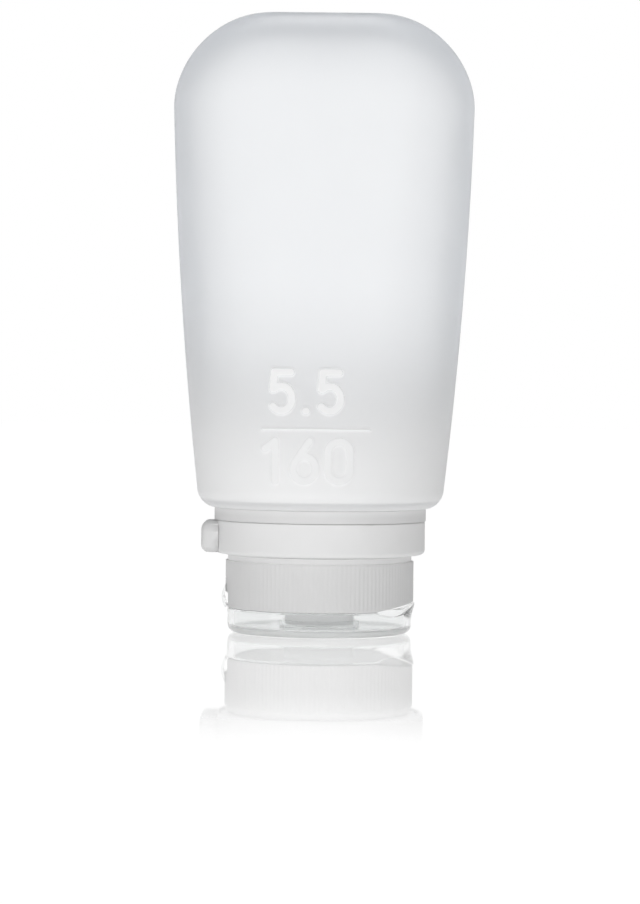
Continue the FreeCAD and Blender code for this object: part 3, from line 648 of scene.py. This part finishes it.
depth_tint = add(tree, "ShaderNodeVolumeAbsorption", Color=linear("c9cccb"), Density=30.0)
tree.links.new(surface.outputs["BSDF"], out.inputs["Surface"])
tree.links.new(depth_tint.outputs["Volume"], out.inputs["Volume"])
window_pane.data.materials.append(clear)
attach(window_pane, "collar")
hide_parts("collar_window")

# Sealing washer. A flat ring stamped from white silicone sheet, loose between the cap's deck and the
# neck's rim.
WASHER = 16.3
WASHER_BORE = 12.8
WASHER_LOW = 7.04
WASHER_TOP = 7.86
washer_line = outline(
    [
        (WASHER_BORE, WASHER_LOW, 0.1),
        (WASHER, WASHER_LOW, 0.1),
        (WASHER, WASHER_TOP, 0.1),
        (WASHER_BORE, WASHER_TOP, 0.1),
    ]
)
sealing_washer = skin("sealing_washer", turned(*washer_line.T[:, :, None], ROUND), "loop")

# White silicone rubber: matt and barely translucent, with a faint mottle from its filler
soft_white, tree, out = empty_material("soft_white_silicone")
place = add(tree, "ShaderNodeTexCoord").outputs["Object"]
mottle = add(tree, "ShaderNodeTexNoise", Vector=place, Scale=1 / (1.5 * MM), Detail=3.0)
tone = add(
    tree,
    "ShaderNodeMix",
    {"data_type": "RGBA"},
    Factor=mottle.outputs["Fac"],
    i6=linear("eceae6"),
    i7=linear("f4f3f0"),
)
bump = add(tree, "ShaderNodeBump", Height=mottle.outputs["Fac"], Strength=0.1, Distance=0.05 * MM)
surface = add(
    tree,
    "ShaderNodeBsdfPrincipled",
    Base_Color=tone.outputs[2],
    Roughness=0.6,
    IOR=1.41,
    Transmission_Weight=0.25,
    Normal=bump.outputs["Normal"],
)
tree.links.new(surface.outputs["BSDF"], out.inputs["Surface"])
sealing_washer.data.materials.append(soft_white)
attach(sealing_washer, "liner")
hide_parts("cap_liner")

# Ribbed cap. Natural polypropylene screw cap: a deck with the spout, a finely ribbed skirt for grip, a
# slanted facet that lets the thumb under the lid's lip, and a flat recess behind the hinge.
SPOUT = 7.0
SPOUT_BORE = 4.6
SPOUT_LOW = 1.9
DECK = 5.15
DECK_TOP = 7.0
VALVE_SEAT = 5.8
VALVE_LEDGE = 5.9
SKIRT = 19.11
SKIRT_TOP = 14.7
BAND = 18.67
BORE = 17.55
BORE_ROUNDING = 0.2
BORE_LEAD = 0.4
CAP_TOP = 15.9
CAP_TURNS = 1.25
RIBS = 128
RIB_STEPS = 4
RIB_DEPTH = 0.07
RIB_HALF = 0.25
RIB_START = 18.85
RIB_RISE = 0.2
FACET_START = 11.31
FACET_LENGTH = 7.8
FACET_RISE = 1.35
FACET_FADE = 2.4
UNDERSIDE_HALF = 0.3
SLACK = 0.05
RECESS_X = -18.3
RECESS_HALF = 4.6
RECESS_TOP = 8.2
# Where the spout and deck are whitened (partly thickness, partly painted light), and how much the band
# is whitened as painted light
DECK_THICK_AND_PAINTED_LIGHT_RADIUS = 17.0
DECK_THICK_AND_PAINTED_LIGHT_TOP = 6.6
BAND_LOW = 14.6
BAND_PAINTED_LIGHT = 0.42
FINE_ROUND = np.linspace(0, 2 * math.pi, RIBS * RIB_STEPS, endpoint=False)
cap_line = outline(
    [
        (SPOUT_BORE, SPOUT_LOW, 0.15),
        (SPOUT, SPOUT_LOW, 0.5),
        (SPOUT, DECK, 0.2),
        (SKIRT, DECK, 0.2),
        (SKIRT, SKIRT_TOP, 0.2),
        (BAND, SKIRT_TOP, 0.1),
        (BAND, CAP_TOP, 0.25),
        (BORE, CAP_TOP, 0.15),
        (BORE, DECK_TOP, BORE_ROUNDING),
        (VALVE_SEAT, DECK_TOP, 0.1),
        (VALVE_SEAT, VALVE_LEDGE, 0.1),
        (SPOUT_BORE, VALVE_LEDGE, 0.1),
    ],
    step=0.5,
)
radius, height = cap_line.T[:, :, None]
on_skirt = np.clip((radius - RIB_START) / RIB_RISE, 0, 1)
on_bore = np.abs(radius - BORE) < NEAR
on_bore = on_bore & (height > DECK_TOP + BORE_ROUNDING) & (height < CAP_TOP - BORE_LEAD)
rib_turn = FINE_ROUND * RIBS / (2 * math.pi)
groove = np.abs(np.mod(rib_turn + 0.5, 1) - 0.5) * 2 * math.pi * SKIRT / RIBS
rib = np.clip(1 - groove / RIB_HALF, 0, 1)
ridge = thread_ridge(height, FINE_ROUND, math.pi, CAP_TURNS)
radius = radius - RIB_DEPTH * rib * on_skirt - THREAD_DEPTH * ridge * on_bore
x = radius * np.cos(FINE_ROUND)
y = radius * np.sin(FINE_ROUND)
# The facet lifts the deck's underside, and the foot of the skirt with it, along a slope in X
facet = np.clip((x - FACET_START) * FACET_RISE / FACET_LENGTH, 0, FACET_RISE)
foot = np.clip(1 - (height - DECK) / FACET_FADE, 0, 1)
foot = foot * (height > DECK - SLACK) * (radius > SPOUT + SLACK)
underside = np.abs(height - DECK) < UNDERSIDE_HALF
outer = np.arange(len(cap_line))[:, None] < np.argmax(cap_line[:, 1])
height = height + facet * np.where(underside, 1.0, foot) * outer
recessed = (np.abs(y) < RECESS_HALF) & (height < RECESS_TOP) & (x < RECESS_X)
x = np.where(recessed, RECESS_X, x)
ribbed_cap = skin("ribbed_cap", np.stack([x, y, height], axis=-1), "loop")
ribbed_cap.data.materials.append(natural)
# The spout and the deck are thick, and they are made white and opaque. This is partly that thickness and
# partly painted light, which lifts the spout seen through the lid. The band over the skirt, backed by
# the neck, is made a little whiter as painted light against the collar's shadow on it.
spout = (np.hypot(x, y) < DECK_THICK_AND_PAINTED_LIGHT_RADIUS) & (height < DECK_THICK_AND_PAINTED_LIGHT_TOP)
mark(ribbed_cap, "thick_and_painted_light", np.where(spout, 1.0, BAND_PAINTED_LIGHT * (height > BAND_LOW)))
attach(ribbed_cap, "cap")
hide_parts("screw_cap")

# Slit valve. A white silicone cup in the spout, whose dished end is cut crosswise and opens only while
# the bottle is squeezed. Its mesh is a welded copy of the solid, because of the slits.
slit_valve = welded_copy("slit_valve", "spout_valve")
slit_valve.data.materials.append(soft_white)
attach(slit_valve, "cap")
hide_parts("spout_valve")

# Valve ring. A snap ring of natural polypropylene, pressed into the deck from inside. It holds the valve
# by its flange.
VALVE_RING = 7.4
VALVE_RING_BORE = 3.75
VALVE_RING_LOW = 6.74
VALVE_RING_STEP = 7.04
VALVE_RING_TOP = 7.7
VALVE_PLUG = 5.75
valve_ring_line = outline(
    [
        (VALVE_RING_BORE, VALVE_RING_LOW, 0.1),
        (VALVE_PLUG, VALVE_RING_LOW, 0.1),
        (VALVE_PLUG, VALVE_RING_STEP, 0),
        (VALVE_RING, VALVE_RING_STEP, 0.1),
        (VALVE_RING, VALVE_RING_TOP, 0.2),
        (VALVE_RING_BORE, VALVE_RING_TOP, 0.2),
    ]
)
valve_ring = skin("valve_ring", turned(*valve_ring_line.T[:, :, None], ROUND), "loop")
valve_ring.data.materials.append(natural)
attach(valve_ring, "cap")
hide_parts("valve_retainer")

# Strap hinge. A bowed film of clear polypropylene, moulded with the cap and lid, that folds along the
# thin line inside its bow when the lid swings open.
BOW_X = -15.61
BOW_Z = 7.35
BOW = 4.15
BOW_TOP = 10.18
BOW_FOOT = 5.05
STRAP = 0.5
STRAP_HALF = 4.0
FOLD_DEPTH = 0.25
FOLD_HALF = 0.25
start = math.pi - math.asin((BOW_TOP - BOW_Z) / BOW)
end = math.pi + math.asin((BOW_Z - BOW_FOOT) / BOW)
turn = np.linspace(start, end, 41)[:, None]
fold = FOLD_DEPTH * np.exp(-(((turn - math.pi) * BOW / FOLD_HALF) ** 2))
# Round the strap's section: across its outside, through the edge, back across its inside
over = np.linspace(-STRAP_HALF, STRAP_HALF, 17)
edge = np.array([0.25, 0.5, 0.75])
across = np.concatenate([over, np.full(3, STRAP_HALF), over[::-1], np.full(3, -STRAP_HALF)])
inward = np.concatenate([np.zeros(17), edge, np.ones(17), edge[::-1]])
reach = BOW - inward * (STRAP - fold)
strap_x = BOW_X + reach * np.cos(turn)
strap_z = BOW_Z + reach * np.sin(turn)
strap_hinge = skin("strap_hinge", np.stack([strap_x, across + 0 * turn, strap_z], axis=-1))
strap_hinge.data.materials.append(clear)
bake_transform(strap_hinge)
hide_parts("hinge_strap")

# Clear lid. A polished polypropylene cup that snaps over the spout and serves as the bottle's foot. Its
# wall rises into a thumb lip opposite the hinge, behind a hollow for the thumb.
LID_ROUND = np.linspace(-math.pi, math.pi, 480, endpoint=False)
LID_FOOT = 18.64
LID_FLARE = 0.14
LID_BORE = 17.4
LID_RIM = 5.0
RIM_BREAK = 0.12
BREAK_START = 0.94
BORE_ROW = 4.0
FOOT_ROUNDING = 1.8
FOOT_MIDDLE = 0.4
FLOOR_TOP = 1.4
WALL_LOW = 2.4
WALL_LOW_RADIUS = 18.7
SPOUT_RING = 8.1
SPOUT_RING_BORE = 7.3
SPOUT_RING_TOP = 2.8
PLUG = 2.6
PLUG_TOP = 2.2
PLUG_MIDDLE = 0.3
THUMB_LIP_X = 1.85
THUMB_LIP_LOW = 3.2
THUMB_LIP_LOW_RADIUS = 16.85
THUMB_LIP_LEAN = 0.75
THUMB_LIP_HEIGHT = 2.97
THUMB_LIP_RISE = 1.17
THUMB_LIP_INNER = 18.35
THUMB_LIP_STEP = 0.1
THUMB_LIP_HALF_ANGLE = 42
THUMB_LIP_RAMP = 1.5
THUMB_X = 14.88
THUMB_Z = 9.6
THUMB = 5.6
HAZE_START = 15.8
HAZE_RAMP = 0.8
HAZE_FADE = 0.5


def thumb_hollow(x):
    """Height of the thumb hollow, a round bar laid across above the lid, at some distance along X."""
    return THUMB_Z - np.sqrt(np.maximum(THUMB**2 - (x - THUMB_X) ** 2, 0.0))


def lid_outside(height, angle):
    """Radius of the lid's wall, or of the lip that flares out of it, whichever is more.

    The wall widens straight up; the lip is a cone about an axis a little towards +X.
    """
    wall = LID_FOOT + LID_FLARE * height / LID_RIM
    cone = THUMB_LIP_LOW_RADIUS + THUMB_LIP_LEAN * (height - THUMB_LIP_LOW) / THUMB_LIP_HEIGHT
    lip_with_painted_light = THUMB_LIP_X * np.cos(angle) + np.sqrt(cone**2 - (THUMB_LIP_X * np.sin(angle)) ** 2)
    return np.where(height > THUMB_LIP_LOW, np.maximum(wall, lip_with_painted_light), wall)


foot_line = outline(
    [(FOOT_MIDDLE, 0.0, 0), (LID_FOOT, 0.0, FOOT_ROUNDING), (WALL_LOW_RADIUS, WALL_LOW, 0)],
    closed=False,
    step=0.8,
)
foot_radius, foot_height = foot_line.T[:, :, None]
in_lip = math.radians(THUMB_LIP_HALF_ANGLE) - np.abs(LID_ROUND)
in_lip = np.clip(in_lip / math.radians(THUMB_LIP_RAMP) + 0.5, 0, 1)
rim = LID_RIM + THUMB_LIP_RISE * in_lip
rim = np.minimum(rim, thumb_hollow(lid_outside(rim, LID_ROUND) * np.cos(LID_ROUND)))
rise = np.linspace(0, 1, 13)[1:, None]
wall_height = WALL_LOW + (rim - WALL_LOW) * rise
wall_radius = lid_outside(wall_height, LID_ROUND)
# The wall's top edge is broken a little, and the rim runs in from there to the bore
wall_radius = wall_radius - RIM_BREAK * np.clip((rise - BREAK_START) / (1 - BREAK_START), 0, 1)
rim_radius = wall_radius[-1] + (LID_BORE - wall_radius[-1]) * rise
past_inner = np.clip((rim_radius - THUMB_LIP_INNER) / THUMB_LIP_STEP, 0, 1)
ledge = LID_RIM + THUMB_LIP_RISE * in_lip * past_inner
rim_height = np.minimum(ledge, thumb_hollow(rim_radius * np.cos(LID_ROUND)))
inside_line = outline(
    [
        (LID_BORE, BORE_ROW, 0),
        (LID_BORE, FLOOR_TOP, 0.5),
        (SPOUT_RING, FLOOR_TOP, 0.1),
        (SPOUT_RING, SPOUT_RING_TOP, 0.15),
        (SPOUT_RING_BORE, SPOUT_RING_TOP, 0.15),
        (SPOUT_RING_BORE, FLOOR_TOP, 0.1),
        (PLUG, FLOOR_TOP, 0.1),
        (PLUG, PLUG_TOP, 0.2),
        (PLUG_MIDDLE, PLUG_TOP, 0),
    ],
    closed=False,
    step=0.8,
)
inside_radius, inside_height = inside_line.T[:, :, None]
radii = (foot_radius, wall_radius, rim_radius, inside_radius)
heights = (foot_height, wall_height, rim_height, inside_height)
lid_radius = np.concatenate([band + 0 * LID_ROUND for band in radii])
lid_height = np.concatenate([band + 0 * LID_ROUND for band in heights])
clear_lid = skin("clear_lid", turned(lid_radius, lid_height, LID_ROUND))
clear_lid.data.materials.append(clear)
# The foot's rounded edge is thick, and hazy
outside = np.arange(len(lid_radius))[:, None] < len(foot_radius) + len(wall_height)
low = np.clip((FOOT_ROUNDING - lid_height) / HAZE_FADE, 0, 1)
far_out = np.clip((lid_radius - HAZE_START) / HAZE_RAMP, 0, 1)
mark(clear_lid, "thick_and_painted_light", low * far_out * outside)
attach(clear_lid, "lid")
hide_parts("flip_lid")

# Table top. A sheet of glossy white acrylic, lit from within to an even white. Its mirror fades with
# distance, as in the photograph, and stops under the foot, where the two touch.
TABLE_HALF = 3.0
TABLE_DROP = 0.00005
GLOW_SHARE = 0.85
table_corners = [
    (-TABLE_HALF, -TABLE_HALF, -TABLE_DROP),
    (TABLE_HALF, -TABLE_HALF, -TABLE_DROP),
    (TABLE_HALF, TABLE_HALF, -TABLE_DROP),
    (-TABLE_HALF, TABLE_HALF, -TABLE_DROP),
]
table_mesh = bpy.data.meshes.new("table_top")
table_mesh.from_pydata(table_corners, [], [(0, 1, 2, 3)])
table_top = finished("table_top", table_mesh)
acrylic, tree, out = empty_material("white_gloss_acrylic")
place = add(tree, "ShaderNodeTexCoord").outputs["Object"]
away = add(tree, "ShaderNodeVectorMath", {"operation": "LENGTH"}, i0=place).outputs["Value"]
fade = add(
    tree,
    "ShaderNodeMapRange",
    {"interpolation_type": "SMOOTHSTEP"},
    Value=away,
    From_Min=0.12,
    From_Max=0.22,
    To_Min=0.58,
    To_Max=0.0,
)
clear_of_foot = add(tree, "ShaderNodeMapRange", Value=away, From_Min=0.015, From_Max=0.0175)
mirror = add(
    tree,
    "ShaderNodeMath",
    {"operation": "MULTIPLY"},
    i0=fade.outputs["Result"],
    i1=clear_of_foot.outputs["Result"],
)
matt = add(tree, "ShaderNodeBsdfDiffuse", Color=linear("f2f2f2"))
glow = add(tree, "ShaderNodeEmission", Color=linear("ffffff"), Strength=1.16)
sheet = add(tree, "ShaderNodeMixShader", i0=GLOW_SHARE, i1=matt.outputs[0], i2=glow.outputs[0])
gloss = add(tree, "ShaderNodeBsdfGlossy", Color=linear("ffffff"), Roughness=0.03)
surface = add(
    tree, "ShaderNodeMixShader", i0=mirror.outputs[0], i1=sheet.outputs[0], i2=gloss.outputs[0]
)
tree.links.new(surface.outputs[0], out.inputs["Surface"])
table_top.data.materials.append(acrylic)

# Surround. White to the eye and in mirrors. Through the bottle it is white behind and a little greyer in
# front, which shades the silicone's edges. On matt surfaces it sheds a dim light, mostly from the front.
LIT_SIDE = (0.0, 0.85, 0.42)
world = bpy.data.worlds.new("white_surround")
bpy.context.scene.world = world
world.use_nodes = True
tree = world.node_tree
tree.nodes.clear()
path = add(tree, "ShaderNodeLightPath").outputs
way = add(tree, "ShaderNodeTexCoord").outputs["Generated"]
seen = add(
    tree,
    "ShaderNodeMath",
    {"operation": "MAXIMUM"},
    i0=path["Is Camera Ray"],
    i1=path["Is Glossy Ray"],
)
seen = add(
    tree,
    "ShaderNodeMath",
    {"operation": "MAXIMUM"},
    i0=seen.outputs[0],
    i1=path["Is Transmission Ray"],
)
behind = add(tree, "ShaderNodeVectorMath", {"operation": "DOT_PRODUCT"}, i0=way, i1=LIT_SIDE)
room = add(
    tree,
    "ShaderNodeMapRange",
    {"interpolation_type": "SMOOTHSTEP"},
    Value=behind.outputs["Value"],
    From_Min=0.1,
    From_Max=0.8,
    To_Min=0.74,
    To_Max=1.0,
)
shown = add(
    tree,
    "ShaderNodeMapRange",
    Value=path["Is Transmission Ray"],
    To_Min=1.0,
    To_Max=room.outputs["Result"],
)
depth_way = add(tree, "ShaderNodeSeparateXYZ", Vector=way).outputs["Y"]
front = add(tree, "ShaderNodeMapRange", Value=depth_way, From_Min=0.0, From_Max=-1.0)
front = add(
    tree, "ShaderNodeMath", {"operation": "MULTIPLY"}, i0=front.outputs[0], i1=front.outputs[0]
)
front = add(tree, "ShaderNodeMapRange", Value=front.outputs[0], To_Min=0.08, To_Max=0.55)
strength = add(
    tree,
    "ShaderNodeMapRange",
    Value=seen.outputs[0],
    To_Min=front.outputs["Result"],
    To_Max=shown.outputs["Result"],
)
sky = add(
    tree, "ShaderNodeBackground", Color=linear("ffffff"), Strength=strength.outputs["Result"]
)
add(tree, "ShaderNodeOutputWorld", Surface=sky.outputs[0])

# Lamp. One broad soft panel at the front, a little to the left, about as bright as the surround. It
# lights the bottle but isn't seen through it, because that looks burnt out from behind.
lamp_data = bpy.data.lights.new("soft_lamp", "AREA")
lamp_data.shape = "RECTANGLE"
lamp_data.size = 2.6
lamp_data.size_y = 1.9
lamp_data.energy = 16.2
lamp = bpy.data.objects.new("soft_lamp", lamp_data)
lamp.location = (-0.22, -1.06, 0.2)
lamp.rotation_euler = (math.radians(82), 0, math.radians(-11.7))
lamp.visible_transmission = False
bpy.context.scene.collection.objects.link(lamp)

# Camera. A long lens a little below the bottle's middle, tipped down and slightly rolled. The focal
# length, and how far the aim is turned aside, are counted in pixels of the photograph.
FOCAL = 3204
PHOTO_HEIGHT = 904
AIM_ASIDE = 0.85
SENSOR = 36.0
PITCH = math.radians(1.25)
YAW = math.atan(AIM_ASIDE / FOCAL)
ROLL = math.radians(0.6)
camera_data = bpy.data.cameras.new("camera")
camera_data.sensor_width = SENSOR
camera_data.lens = SENSOR * FOCAL / PHOTO_HEIGHT
camera_data.clip_start = 0.01
camera = bpy.data.objects.new("camera", camera_data)
camera.location = (0.0, -0.652, 0.0509)
turn_z = mathutils.Matrix.Rotation(YAW, 4, "Z")
tip_x = mathutils.Matrix.Rotation(math.pi / 2 - PITCH, 4, "X")
roll_z = mathutils.Matrix.Rotation(ROLL, 4, "Z")
camera.rotation_mode = "XYZ"
camera.rotation_euler = (turn_z @ tip_x @ roll_z).to_euler("XYZ")
bpy.context.scene.collection.objects.link(camera)
bpy.context.scene.camera = camera
bpy.context.scene.view_settings.view_transform = "Standard"
# Light has to get through the lid's, the body's and the cap's walls, front and back
bpy.context.scene.cycles.max_bounces = 24
bpy.context.scene.cycles.glossy_bounces = 16
bpy.context.scene.cycles.transmission_bounces = 24
bpy.context.scene.cycles.diffuse_bounces = 6
